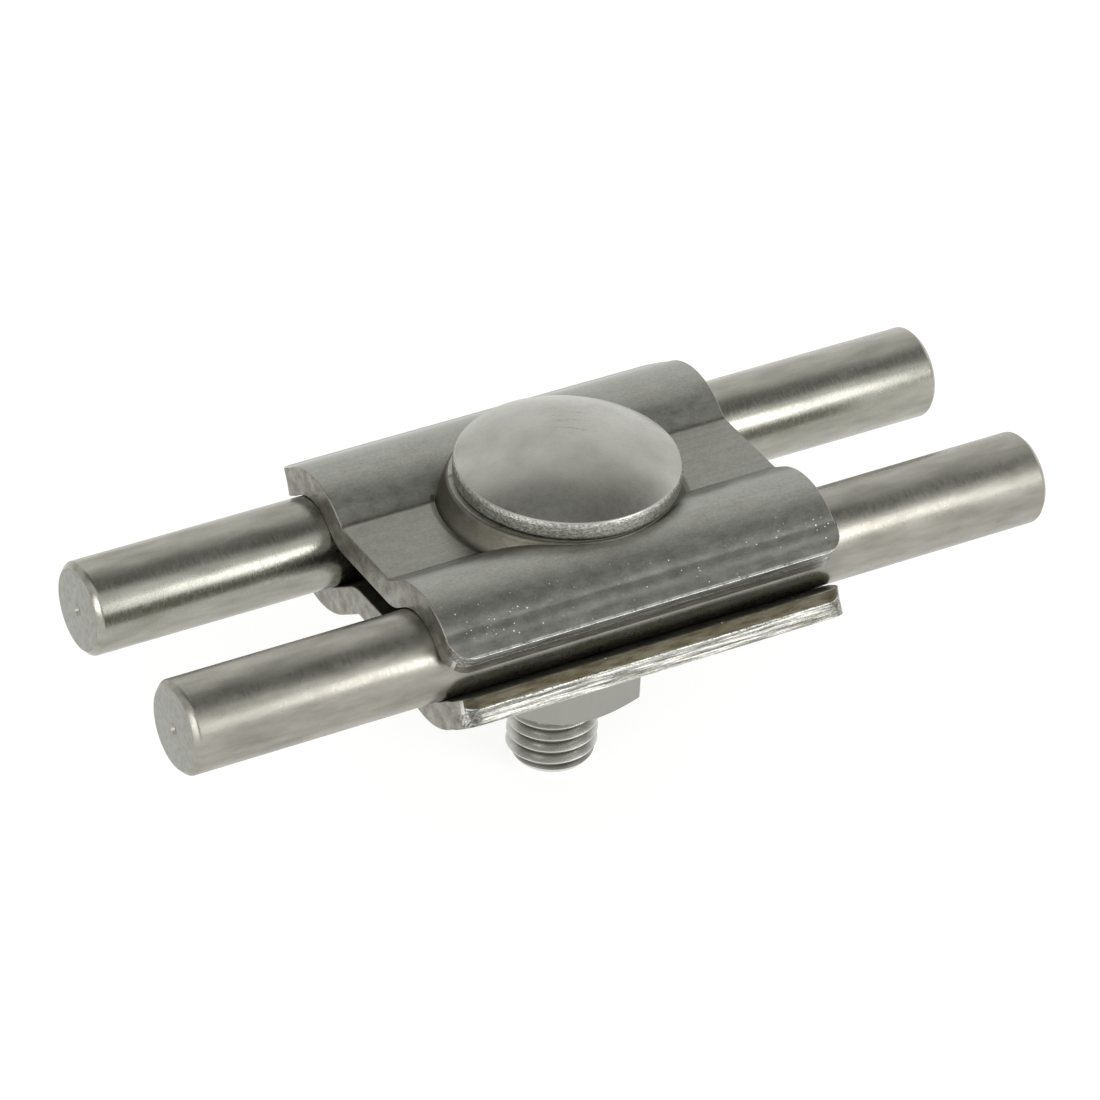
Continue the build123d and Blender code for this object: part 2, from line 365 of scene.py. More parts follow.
# The seat's drawn flank: galled by the die and stained brownish, with painted shade that darkens it up
# under the head and along its foot
def makeDrawnFlankSteel(name, footLevel):
    material, tree, shader, place = startSteel(name, "#7b766d", 0.42)
    outFromHead = (11.4 * mm, 13.2 * mm)
    downToFoot = ((footLevel + 0.6) * mm, (footLevel + 0.1) * mm)
    across = addNode(tree, "Mapping", {"Scale": (1, 1, 0)}, {"Vector": place})
    radius = addNode(tree, "VectorMath", {"operation": "LENGTH"}, {0: across}, "Value")
    grainPlace = addNode(tree, "Mapping", {"Scale": perMm(0.45, 0.45, 0.8)}, {"Vector": place})
    grain = addNode(tree, "TexNoise", {"Scale": 1, "Detail": 5, "Roughness": 0.75},
                    {"Vector": grainPlace})
    mottlePlace = addNode(tree, "Mapping", {"Scale": perMm(1.8, 1.8, 1.4)}, {"Vector": place})
    mottle = addNode(tree, "TexNoise", {"Scale": 1, "Detail": 4, "Roughness": 0.6},
                     {"Vector": mottlePlace})
    # Painted shade: darker in towards the head, lighter out towards the foot
    outward = addNode(tree, "MapRange", {"span": outFromHead, "To Max": 0.4}, {"Value": radius})
    grained = addNode(tree, "Math", {"operation": "MULTIPLY_ADD", 1: 0.4}, {0: grain, 2: outward})
    stainAndHeadShade = addNode(tree, "Math", {"operation": "MULTIPLY_ADD", 1: 0.5}, {0: mottle, 2: grained})
    tone = addNode(tree, "ValToRGB", {"stops": [(0.4, "#4b4a44"), (0.9, "#787569")]}, {"Fac": stainAndHeadShade})
    placeZ = addNode(tree, "SeparateXYZ", {}, {"Vector": place}, "Z")
    awayZ = addNode(tree, "Math", absolute, {0: placeZ})
    # Painted shade along the foot
    low = addNode(tree, "MapRange", {"span": downToFoot, "To Max": 0.8}, {"Value": awayZ})
    flankShadePainted = addNode(tree, "Mix", {"data_type": "RGBA", 7: srgb("#3a3832")}, {0: low, 6: tone}, 2)
    waved = addNode(tree, "Bump", {"Strength": 0.5, "Distance": 0.06 * mm}, {"Height": mottle})
    galled = addNode(tree, "Bump", {"Strength": 0.6, "Distance": 0.03 * mm},
                     {"Height": grain, "Normal": waved})
    fillNode(tree, shader, {}, {"Base Color": flankShadePainted, "Normal": galled})
    return material


# Sheared ends of the sheet: dull and grainy, with brownish stains
def makeEndCutSteel():
    material, tree, shader, place = startSteel("sheared-end-stainless", "#908e86", 0.4)
    stainPlace = addNode(tree, "Mapping", {"Scale": perMm(2, 1.3, 1.3)}, {"Vector": place})
    stains = addNode(tree, "TexNoise", {"Scale": 1, "Detail": 4, "Roughness": 0.6},
                     {"Vector": stainPlace})
    grainPlace = addNode(tree, "Mapping", {"Scale": perMm(0.5, 0.22, 0.3)}, {"Vector": place})
    grain = addNode(tree, "TexNoise", {"Scale": 1, "Detail": 4, "Roughness": 0.7}, {"Vector": grainPlace})
    mixed = addNode(tree, "Math", {"operation": "MULTIPLY_ADD", 1: 0.35}, {0: grain, 2: stains})
    tone = addNode(tree, "ValToRGB", {"stops": [(0.5, "#79746a"), (0.68, "#8f8d85"), (0.85, "#a3a19a")]},
                   {"Fac": mixed})
    waved = addNode(tree, "Bump", {"Strength": 0.6, "Distance": 0.12 * mm}, {"Height": stains})
    sheared = addNode(tree, "Bump", {"Strength": 0.6, "Distance": 0.02 * mm},
                      {"Height": grain, "Normal": waved})
    fillNode(tree, shader, {}, {"Base Color": tone, "Normal": sheared})
    return material


# Across the lips' cut: the levels of its two edges, and the share of the way where its halves meet
lipCut = {"edges": (4.25 * mm, 1.7 * mm), "burrHighlights": 0.555, "meet": (0.56, 0.575)}


# Sheared edge of a lip: the inner half is burnished by the punch and stained in places, and the outer
# half is torn into bright lengthwise tears, with a dotted line of burrs between them, painted pale as a
# highlight
def makeLipCutSteel(name, burnishedTone):
    material, tree, shader, place = startSteel(name, burnishedTone, 0.3)
    placeZ = addNode(tree, "SeparateXYZ", {}, {"Vector": place}, "Z")
    awayZ = addNode(tree, "Math", absolute, {0: placeZ})
    depth = addNode(tree, "MapRange", {"span": lipCut["edges"]}, {"Value": awayZ})
    raggedPlace = addNode(tree, "Mapping", {"Scale": perMm(0.5, 60, 60)}, {"Vector": place})
    ragged = addNode(tree, "TexNoise", {"Scale": 1, "Detail": 5, "Roughness": 0.75},
                     {"Vector": raggedPlace})
    torn = addNode(tree, "Math", {"operation": "MULTIPLY_ADD", 1: 0.07}, {0: ragged, 2: depth})
    tearPlace = addNode(tree, "Mapping", {"Scale": perMm(5, 0.22, 0.22)}, {"Vector": place})
    tears = addNode(tree, "TexNoise", {"Scale": 1, "Detail": 3, "Roughness": 0.6}, {"Vector": tearPlace})
    chipPlace = addNode(tree, "Mapping", {"Scale": perMm(0.35, 0.2, 0.2)}, {"Vector": place})
    chips = addNode(tree, "TexNoise", {"Scale": 1, "Detail": 3, "Roughness": 0.7}, {"Vector": chipPlace})
    tearing = addNode(tree, "Math", {"operation": "MULTIPLY_ADD", 1: 0.3}, {0: chips, 2: tears})
    tornTone = addNode(tree, "ValToRGB", {"stops": [
        (0.5, "#55554f"), (0.6, "#767670"), (0.7, "#8c8c86"), (0.8, "#b4b4ae")]}, {"Fac": tearing})
    inside = addNode(tree, "MapRange", {"span": lipCut["meet"]}, {"Value": torn})
    stainPlace = addNode(tree, "Mapping", {"Scale": perMm(3, 0.6, 0.6)}, {"Vector": place})
    stains = addNode(tree, "TexNoise", {"Scale": 1, "Detail": 5, "Roughness": 0.7},
                     {"Vector": stainPlace})
    stained = addNode(tree, "MapRange", {"span": (0.38, 0.62)}, {"Value": stains})
    burnished = addNode(tree, "Mix", {
        "data_type": "RGBA", "blend_type": "MULTIPLY", 6: srgb(burnishedTone), 7: srgb("#b9b2a2")},
        {0: stained}, 2)
    halves = addNode(tree, "Mix", {"data_type": "RGBA"}, {0: inside, 6: tornTone, 7: burnished}, 2)
    # The burrs' dots are painted pale: a painted highlight
    offBurr = addNode(tree, "Math", {"operation": "SUBTRACT", 1: lipCut["burrHighlights"]}, {0: torn})
    farBurr = addNode(tree, "Math", absolute, {0: offBurr})
    onBurr = addNode(tree, "MapRange", {"span": (0.035, 0.01)}, {"Value": farBurr})
    dots = addNode(tree, "MapRange", {"span": (0.4, 0.55)}, {"Value": chips})
    burrHighlights = addNode(tree, "Math", multiply, {0: onBurr, 1: dots})
    tone = addNode(tree, "Mix", {"data_type": "RGBA", 7: srgb("#d8d8d4")}, {0: burrHighlights, 6: halves}, 2)
    outside = addNode(tree, "MapRange", {"span": lipCut["meet"][::-1], "To Min": 0.08}, {"Value": torn})
    height = addNode(tree, "Math", multiply, {0: tearing, 1: outside})
    rough = addNode(tree, "Bump", {"Strength": 0.7, "Distance": 0.05 * mm}, {"Height": height})
    fillNode(tree, shader, {}, {"Base Color": tone, "Normal": rough})
    return material


# Cold-headed bolt: satin and nearly plain, with fine grain and faint clouds
def makeHeadedBoltSteel():
    material, tree, shader, place = startSteel("cold-headed-stainless", "#9c9c95", 0.33)
    grainPlace = addNode(tree, "Mapping", {"Scale": perMm(0.7, 0.7, 0.7)}, {"Vector": place})
    grain = addNode(tree, "TexNoise", {"Scale": 1, "Detail": 5, "Roughness": 0.6}, {"Vector": grainPlace})
    cloudPlace = addNode(tree, "Mapping", {"Scale": perMm(5, 5, 5)}, {"Vector": place})
    clouds = addNode(tree, "TexNoise", {"Scale": 1, "Detail": 4}, {"Vector": cloudPlace})
    tone = addNode(tree, "ValToRGB", {"stops": [(0.32, "#a3a29a"), (0.68, "#b5b5ae")]}, {"Fac": clouds})
    spread = addNode(tree, "MapRange", {"span": (0.3, 0.7), "To Min": 0.24, "To Max": 0.32}, {"Value": grain})
    satin = addNode(tree, "Bump", {"Strength": 0.35, "Distance": 0.01 * mm}, {"Height": grain})

    # A few wrinkles that the header's die left on the crown
    wrinkleTurn = (0, 0, math.radians(-35))
    wrinkleSize = (2.6 * mm, 0.5 * mm, 3 * mm)
    wrinklePlace = addNode(tree, "Mapping", {
        "vector_type": "TEXTURE", "Rotation": wrinkleTurn, "Scale": wrinkleSize}, {"Vector": place})
    wrinkles = addNode(tree, "TexNoise", {"Scale": 1, "Detail": 3, "Distortion": 0.7},
                       {"Vector": wrinklePlace})
    folds = addNode(tree, "MapRange", {"span": (0.56, 0.68)}, {"Value": wrinkles})
    crownPlace = addNode(tree, "Mapping", {"Location": (-1.9 * mm, -2 * mm, 0), "Scale": (1, 1, 0)},
                         {"Vector": place})
    crownFar = addNode(tree, "VectorMath", {"operation": "LENGTH"}, {0: crownPlace}, "Value")
    crown = addNode(tree, "MapRange", {"span": (4.5 * mm, 2 * mm)}, {"Value": crownFar})
    foldHeight = addNode(tree, "Math", multiply, {0: folds, 1: crown})
    wrinkled = addNode(tree, "Bump", {"Strength": 0.6, "Distance": 0.05 * mm},
                       {"Height": foldHeight, "Normal": satin})
    fillNode(tree, shader, {}, {"Base Color": tone, "Roughness": spread, "Normal": wrinkled})
    return material


# The head's rim keeps the pitted, bright surface that the header's die leaves
def makePittedRimSteel():
    material, tree, shader, place = startSteel("pitted-rim-stainless", "#b0b0a9", 0.3)
    pitPlace = addNode(tree, "Mapping", {"Scale": perMm(0.35, 0.35, 0.2)}, {"Vector": place})
    pits = addNode(tree, "TexNoise", {"Scale": 1, "Detail": 4, "Roughness": 0.7}, {"Vector": pitPlace})
    tone = addNode(tree, "ValToRGB", {"stops": [(0.36, "#77776f"), (0.5, "#a0a099"), (0.62, "#c6c6c0")]},
                   {"Fac": pits})
    pitted = addNode(tree, "Bump", {"Strength": 0.9, "Distance": 0.09 * mm}, {"Height": pits})
    fillNode(tree, shader, {}, {"Base Color": tone, "Normal": pitted})
    return material


# Rolled thread, with painted shade in the roots and a painted highlight along the crests. The tip's
# chamfer has a painted highlight.
def makeRolledThreadSteel():
    material, tree, shader, place = startSteel("rolled-thread-stainless", "#94938c", 0.3)
    rootToCrest = (3.95 * mm, 4.85 * mm)
    tipChamfer = (-26.1 * mm, -26.7 * mm)
    grainPlace = addNode(tree, "Mapping", {"Scale": perMm(0.6, 0.6, 0.4)}, {"Vector": place})
    grain = addNode(tree, "TexNoise", {"Scale": 1, "Detail": 4}, {"Vector": grainPlace})
    across = addNode(tree, "Mapping", {"Scale": (1, 1, 0)}, {"Vector": place})
    radius = addNode(tree, "VectorMath", {"operation": "LENGTH"}, {0: across}, "Value")
    # Painted shade and highlight: darker toward the roots, lighter toward the crests
    depth = addNode(tree, "MapRange", {"span": rootToCrest}, {"Value": radius})
    placeZ = addNode(tree, "SeparateXYZ", {}, {"Vector": place}, "Z")
    # Painted highlight on the tip's chamfer
    paintedTipHighlight = addNode(tree, "MapRange", {"span": tipChamfer}, {"Value": placeZ})
    paintedShadeAndHighlight = addNode(tree, "Math", {"operation": "MAXIMUM"}, {0: depth, 1: paintedTipHighlight})
    tone = addNode(tree, "ValToRGB", {"stops": [(0.1, "#7f7c74"), (0.9, "#d0d0cb")]}, {"Fac": paintedShadeAndHighlight})
    spread = addNode(tree, "MapRange", {"span": (0.3, 0.7), "To Min": 0.24, "To Max": 0.38}, {"Value": grain})
    rolled = addNode(tree, "Bump", {"Strength": 0.4, "Distance": 0.01 * mm}, {"Height": grain})
    fillNode(tree, shader, {}, {"Base Color": tone, "Roughness": spread, "Normal": rolled})
    return material


# Nut, pressed from bar and tumbled: smooth pale satin with the faintest upright tool marks
def makeNutSteel():
    material, tree, shader, place = startSteel("tumbled-nut-stainless", "#9f9f99", 0.33)
    markPlace = addNode(tree, "Mapping", {"Scale": perMm(0.5, 0.5, 5)}, {"Vector": place})
    marks = addNode(tree, "TexNoise", {"Scale": 1, "Detail": 3}, {"Vector": markPlace})
    spread = addNode(tree, "MapRange", {"span": (0.3, 0.7), "To Min": 0.29, "To Max": 0.38}, {"Value": marks})
    tooled = addNode(tree, "Bump", {"Strength": 0.4, "Distance": 0.004 * mm}, {"Height": marks})
    fillNode(tree, shader, {}, {"Roughness": spread, "Normal": tooled})
    return material


frontBarSteel = makeDrawnBarSteel("drawn-bar-stainless-dull", 0.3, "#8b8980", "#a8a69d")
backBarSteel = makeDrawnBarSteel("drawn-bar-stainless-bright", 0.23, "#8f8e84", "#aaa9a0")
sheetSteel = makePressedSheetSteel()
endCutSteel = makeEndCutSteel()
upperLipSteel = makeLipCutSteel("sheared-lip-stainless", "#85847c")
# The lower lip's cut has a darker burnished tone
lowerLipSteel = makeLipCutSteel("sheared-lip-stainless-darker", "#625f52")
upperFlankSteel = makeDrawnFlankSteel("drawn-flank-stainless", 5.65)
lowerFlankSteel = makeDrawnFlankSteel("drawn-flank-stainless-lower", 4.4)
boltSteel = makeHeadedBoltSteel()
rimSteel = makePittedRimSteel()
threadSteel = makeRolledThreadSteel()
nutSteel = makeNutSteel()
print("materials made")


# Conductors

conductor = {
    "radius": 5.0,
    "endChamfer": 0.6,
    "markRadius": 0.7,
    "markDepth": 0.3,
    "markSlope": 0.35,
    "chamferSoftening": 0.12,
    "sides": 128,
}


def modelConductor(node, barSteel):
    low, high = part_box(node)
    axisY = (low.y + high.y) / 2
    endSteel = makeFacedEndSteel("faced_end_" + node, axisY)
    middle = ((low.x + high.x) / 2, axisY, (low.z + high.z) / 2)
    bpy.ops.mesh.primitive_cylinder_add(
        vertices=conductor["sides"], radius=conductor["radius"] * mm, depth=high.x - low.x,
        location=middle, rotation=(0, math.pi / 2, 0))
    piece = bpy.context.object
    piece.name = node.replace("_", "-")
    bpy.ops.object.transform_apply()
    startEdit(piece, "EDGE")
    choose(piece, lambda edge: edgeRun(edge).x < 0.1 * mm, "EDGE")
    bpy.ops.mesh.bevel(offset=conductor["endChamfer"] * mm, segments=1, affect="EDGES")
    bpy.ops.mesh.bevel(offset=conductor["chamferSoftening"] * mm, segments=2, affect="EDGES")
    choose(piece, lambda face: abs(face.normal.x) > 0.99 and len(face.verts) > 8, "FACE")
    softened = 0.1 * mm  # what the softening takes off the end face's radius
    faceRadius = (conductor["radius"] - conductor["endChamfer"]) * mm
    bpy.ops.mesh.inset(thickness=faceRadius - conductor["markRadius"] * mm - softened, use_individual=True)
    bpy.ops.mesh.inset(
        thickness=conductor["markSlope"] * mm, depth=-conductor["markDepth"] * mm, use_individual=True)
    endEdit()
    finishPiece(piece, "clamp_top", node, [barSteel, endSteel])
    endDepth = 0.5 * mm

    def onEnd(face):
        return abs(face.normal.x) > 0.9 and not low.x + endDepth < middleOf(face).x < high.x - endDepth

    paintFaces(piece, 1, onEnd)


modelConductor("front_conductor", frontBarSteel)
modelConductor("back_conductor", backBarSteel)
print("conductors modelled")


# Pressed plates

pressing = {
    "sheet": 3.0,
    "grooveSpacing": 22.24,
    "grooveRadius": 5.1,
    "innerAngle": 34.0,
    "outerAngle": 41.0,
    "flareRadius": 2.5,
    "lipAngle": 32.0,
    "lip": 2.95,
    "cornerRadius": 2.5,
    "crease": 0.8,
    "endRoll": 0.65,
    "lipRollShare": 0.3,
    "innerBreak": 0.08,
    "burnishTilt": 0.26,
    "seatShoulder": 0.5,
    "middleCrease": 2.0,
    "toolOverrun": 2.0,
    "toolDepth": 20.0,
    "recessDepth": 5.0,
    "upper": {"web": 2.65, "seatLevel": 8.3, "seatRadius": 12.1, "seatDraft": 24.0, "squareHole": 11.4},
    "lower": {"web": 1.4, "seatLevel": 9.2, "seatRadius": 12.8, "seatDraft": 10.0, "roundHole": 11.4},
}


def drawSkin(name, distance, web, crease, low, high):
    # One skin of the sheet, drawn across the grooves from the middle out and drawn out along X
    lean = math.radians(pressing["innerAngle"])
    turn = math.radians(pressing["outerAngle"])
    slope = math.radians(pressing["lipAngle"])
    half = pressing["grooveSpacing"] / 2 * mm
    creaseY = half - (distance - web * math.cos(lean)) / math.sin(lean)
    run = crease * math.tan(lean / 2)
    skins = (pressing["grooveRadius"] + pressing["sheet"]) * mm - distance
    flare = distance + pressing["flareRadius"] * mm + skins
    piece = addPoint(name, (low, 0, web))
    drawTo((low, 0, web), (low, creaseY - run, web))
    drawArc((low, creaseY - run, web + crease), pressing["innerAngle"], (1, 0, 0), 4)
    here = (low, creaseY + run * math.cos(lean), web + run * math.sin(lean))
    drawTo(here, (low, half - distance * math.sin(lean), distance * math.cos(lean)))
    drawArc((low, half, 0), -pressing["innerAngle"] - pressing["outerAngle"], (1, 0, 0), 44)
    flareCentre = (low, half + flare * math.sin(turn), flare * math.cos(turn))
    drawArc(flareCentre, pressing["outerAngle"] - pressing["lipAngle"], (1, 0, 0), 4)
    drawTo((0, 0, 0), (0, pressing["lip"] * mm * math.cos(slope), -pressing["lip"] * mm * math.sin(slope)))
    selectAll()
    bpy.ops.mesh.extrude_region_move(TRANSFORM_OT_translate={"value": (high - low, 0, 0)})
    endEdit()
    applyModifier(
        piece, "MIRROR", use_axis=(False, True, False), use_mirror_merge=True, merge_threshold=slack)
    return piece


def lipFrame(side):  # where the outer skin's lip starts, and its directions out and off the skin
    turn = math.radians(pressing["outerAngle"])
    slope = math.radians(pressing["lipAngle"])
    flare = pressing["flareRadius"]
    reach = pressing["grooveRadius"] + pressing["sheet"] + flare
    startY = pressing["grooveSpacing"] / 2 + reach * math.sin(turn) - flare * math.sin(slope)
    startZ = reach * math.cos(turn) - flare * math.cos(slope)
    along = Vector((0, side * math.cos(slope), -math.sin(slope)))
    off = Vector((0, side * math.sin(slope), math.cos(slope)))
    return Vector((0, side * startY, startZ)) * mm, along, off


def splitLipCut(plate, side):
    # The punch burnishes the inner half of the cut, which stands a little steeper than the torn half
    start, along, off = lipFrame(side)
    sheet = pressing["sheet"] * mm
    corner = (pressing["lip"] - pressing["cornerRadius"]) * mm - 5 * slack

    def onCut(face):
        outwards = (middleOf(face) - start).dot(along)
        return abs(face.normal.dot(off)) < 0.1 and outwards > 0

    def onInnerEdge(vertex):
        place = vertex.co - start
        return abs(place.dot(off) + sheet) < 2 * slack and place.dot(along) > corner

    startEdit(plate, "FACE")
    choose(plate, onCut, "FACE")
    bpy.ops.mesh.bisect(plane_co=start - off * sheet / 2, plane_no=off)
    choose(plate, onInnerEdge)
    bpy.ops.transform.translate(value=along * pressing["burnishTilt"] * mm)
    endEdit()


def modelPlate(node, style, body, flipped, lipSteel, flankSteel):
    low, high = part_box(node)
    level = style["seatLevel"] * mm
    sheet = pressing["sheet"] * mm
    centreX = (low.x + high.x) / 2
    outer = (pressing["grooveRadius"] + pressing["sheet"]) * mm
    webLevel = style["web"] * mm + sheet
    plate = drawSkin(node.replace("_", "-"), outer, webLevel, pressing["crease"] * mm, low.x, high.x)

    # The lips' corners are rounded before the sheet gets its thickness
    startEdit(plate)
    edgeY = max(vertex.co.y for vertex in plate.data.vertices)
    choose(plate, lambda vertex: abs(vertex.co.y) > edgeY - slack)
    bpy.ops.mesh.bevel(offset=pressing["cornerRadius"] * mm, segments=10, affect="VERTICES")
    selectAll()
    bpy.ops.mesh.normals_make_consistent(inside=False)
    endEdit()
    if sum(face.normal.z for face in plate.data.polygons) < 0:
        startEdit(plate, "FACE")
        selectAll()
        bpy.ops.mesh.flip_normals()
        endEdit()
    applyModifier(
        plate, "SOLIDIFY", thickness=sheet, offset=-1, use_even_offset=True, use_quality_normals=True)
    closeSeams(plate)
    splitLipCut(plate, 1)
    splitLipCut(plate, -1)

    # The outer skin's rim rolls over where the blank was cut, widest at the plate's ends, and the
    # inner rim is only just broken
    def onRim(edge, outside):
        if len(edge.link_faces) != 2:
            return False
        slopes = [face.normal.z if outside else -face.normal.z for face in edge.link_faces]
        apart = edge.link_faces[0].normal.angle(edge.link_faces[1].normal)
        return max(slopes) > skinSlope and apart > rimAngle

    skinSlope = 0.7  # how far up the skin's faces point at least
    rimAngle = math.radians(60)
    lipStart = edgeY - pressing["cornerRadius"] * mm
    share = pressing["lipRollShare"]
    startEdit(plate, "EDGE")
    choose(plate, lambda edge: onRim(edge, True), "EDGE")
    bpy.ops.transform.edge_bevelweight(value=share)

    def farthest(edge):
        return max(abs(vertex.co.y) for vertex in edge.verts)

    for step in (0.0, 0.5):
        reach = lipStart + step * pressing["cornerRadius"] * mm
        choose(plate, lambda edge: onRim(edge, True) and farthest(edge) < reach, "EDGE")
        bpy.ops.transform.edge_bevelweight(value=(1 - share) / 2)
    endEdit()
    applyModifier(plate, "BEVEL", width=pressing["endRoll"] * mm, segments=5, limit_method="WEIGHT")
    startEdit(plate, "EDGE")
    choose(plate, lambda edge: onRim(edge, False), "EDGE")
    bpy.ops.mesh.bevel(offset=pressing["innerBreak"] * mm, segments=1, affect="EDGES")
    endEdit()

    # The drawn seat: its mass is trimmed to the middle of the sheet, then joined and hollowed
    draft = math.tan(math.radians(style["seatDraft"]))
    radius = style["seatRadius"] * mm
    shoulder = pressing["seatShoulder"] * mm
    seat = turnOnLathe("seat", [
        (0, 0), (radius + level * draft, 0), (radius, level - shoulder),
        (radius - shoulder, level - shoulder, -90, 4), (0, level)], axisX=centreX, steps=160)
    overrun = pressing["toolOverrun"] * mm
    middle = drawSkin("middle", outer - sheet / 2, webLevel - sheet / 2, pressing["middleCrease"] * mm,
                      low.x - overrun, high.x + overrun)
    startEdit(middle, "FACE")
    selectAll()
    toolDepth = pressing["toolDepth"] * mm
    bpy.ops.mesh.extrude_region_move(TRANSFORM_OT_translate={"value": (0, 0, -toolDepth)})
    endEdit()
    closeSeams(middle)
    carve(seat, middle, "DIFFERENCE")
    carve(plate, seat, "UNION")
    hollow = radius - sheet
    depth = -pressing["recessDepth"] * mm
    recess = turnOnLathe("recess", [
        (0, depth), (hollow + level * draft, depth), (hollow, level - sheet), (0, level - sheet)],
        axisX=centreX, steps=160)
    carve(plate, recess, "DIFFERENCE")
    if "squareHole" in style:
        bpy.ops.mesh.primitive_cube_add(size=1, location=(centreX, 0, level))
        hole = bpy.context.object
        hole.scale = (style["squareHole"] * mm, style["squareHole"] * mm, toolDepth)
    else:
        bpy.ops.mesh.primitive_cylinder_add(
            vertices=128, radius=style["roundHole"] / 2 * mm, depth=toolDepth, location=(centreX, 0, level))
        hole = bpy.context.object
    soloSelect(hole)
    bpy.ops.object.transform_apply()
    carve(plate, hole, "DIFFERENCE")
    if flipped:
        plate.rotation_euler = (math.pi, 0, 0)
        soloSelect(plate)
        bpy.ops.object.transform_apply()
    closeSeams(plate)
    finishPiece(plate, body, node, [sheetSteel, endCutSteel, lipSteel, flankSteel])

    # The ends, the lips' cuts and the seat's flank have materials of their own
    up = -1 if flipped else 1
    cutSlopes = (-0.72, -0.25)  # how far up the lips' cuts point
    lipZone = edgeY - sheet
    endZone = (high.x - low.x) / 2 - sheet
    bolted = Vector((centreX, 0))
    footRadius = radius + (level - webLevel) * draft

    def onEnd(face):
        return abs(face.normal.x) > 0.8 and abs(middleOf(face).x - centreX) > endZone

    def onLipCut(face):
        return abs(middleOf(face).y) > lipZone and cutSlopes[0] < up * face.normal.z < cutSlopes[1]

    def onFlank(face):
        outward = middleOf(face).xy - bolted
        steep = 0.05 < up * face.normal.z < 0.95 and up * middleOf(face).z > webLevel
        near = radius - shoulder < outward.length < footRadius + 0.3 * mm
        return steep and near and face.normal.xy.normalized().dot(outward.normalized()) > 0.98

    paintFaces(plate, 1, onEnd)
    paintFaces(plate, 2, onLipCut)
    paintFaces(plate, 3, onFlank)


modelPlate("upper_plate", pressing["upper"], "clamp_top", False, upperLipSteel, upperFlankSteel)
modelPlate("lower_plate", pressing["lower"], "clamp_bottom", True, lowerLipSteel, lowerFlankSteel)
print("plates modelled")


# Bolt

bolt = {
    "headRadius": 11.9,
    "headBottom": 8.3,
    "headTop": 13.7,
    "rimHeight": 1.9,
    "rimRound": 0.45,
    "neckSide": 10.0,
    "neckLength": 4.8,
    "neckCorner": 0.8,
    "overlap": 0.2,
    "shankRadius": 4.5,
    "threadRadius": 4.87,
    "threadTop": -0.7,
    "tip": -27.1,
    "tipRadius": 4.0,
    "tipTaper": 1.3,
    "pitch": 1.5,
    "threadDepth": 0.9,
    "crestRound": 0.05,
    "runOut": 1.0,
}


def modelBolt():
    radius = bolt["headRadius"] * mm
    bottom = bolt["headBottom"] * mm
    rimTop = bottom + bolt["rimHeight"] * mm
    rise = (bolt["headTop"] - bolt["headBottom"] - bolt["rimHeight"]) * mm
    domeRadius = (radius ** 2 + rise ** 2) / (2 * rise)
    domeAngle = math.degrees(math.asin(radius / domeRadius))
    shank = bolt["shankRadius"] * mm
    shankEnd = (bolt["threadTop"] - bolt["overlap"]) * mm
    piece = turnOnLathe("saucer-bolt", [
        (0, bolt["headTop"] * mm),
        (0, bolt["headTop"] * mm - domeRadius, domeAngle, 40),
        (radius, bottom),
        (shank, bottom),
        (shank, shankEnd),
        (0, shankEnd)], steps=160)

    # The rim's two edges are round, as the die leaves them
    def onRim(edge):
        level = edgeRun(edge).z < slack
        return level and all(abs(vertex.co.xy.length - radius) < slack for vertex in edge.verts)

    startEdit(piece, "EDGE")
    choose(piece, onRim, "EDGE")
    bpy.ops.mesh.bevel(offset=bolt["rimRound"] * mm, segments=5, affect="EDGES")
    endEdit()

    neckMiddle = bottom - (bolt["neckLength"] - bolt["overlap"]) / 2 * mm
    bpy.ops.mesh.primitive_cube_add(size=1, location=(0, 0, neckMiddle))
    neck = bpy.context.object
    neckHeight = bolt["neckLength"] + bolt["overlap"]
    neck.scale = (bolt["neckSide"] * mm, bolt["neckSide"] * mm, neckHeight * mm)
    bpy.ops.object.transform_apply()
    startEdit(neck, "EDGE")
    choose(neck, lambda edge: edgeRun(edge).z > 1 * mm, "EDGE")
    bpy.ops.mesh.bevel(offset=bolt["neckCorner"] * mm, segments=4, affect="EDGES")
    endEdit()
    carve(piece, neck, "UNION")

    carve(piece, modelThread(), "UNION")
    finishPiece(piece, "clamp_top", "saucer_bolt", [boltSteel, rimSteel, threadSteel])

    pittedWidth = 0.35 * mm

    def onPittedRim(face):
        middle = middleOf(face)
        return middle.xy.length > radius - pittedWidth and middle.z < rimTop

    paintFaces(piece, 1, onPittedRim)
    paintFaces(piece, 2, lambda face: middleOf(face).z < 0)


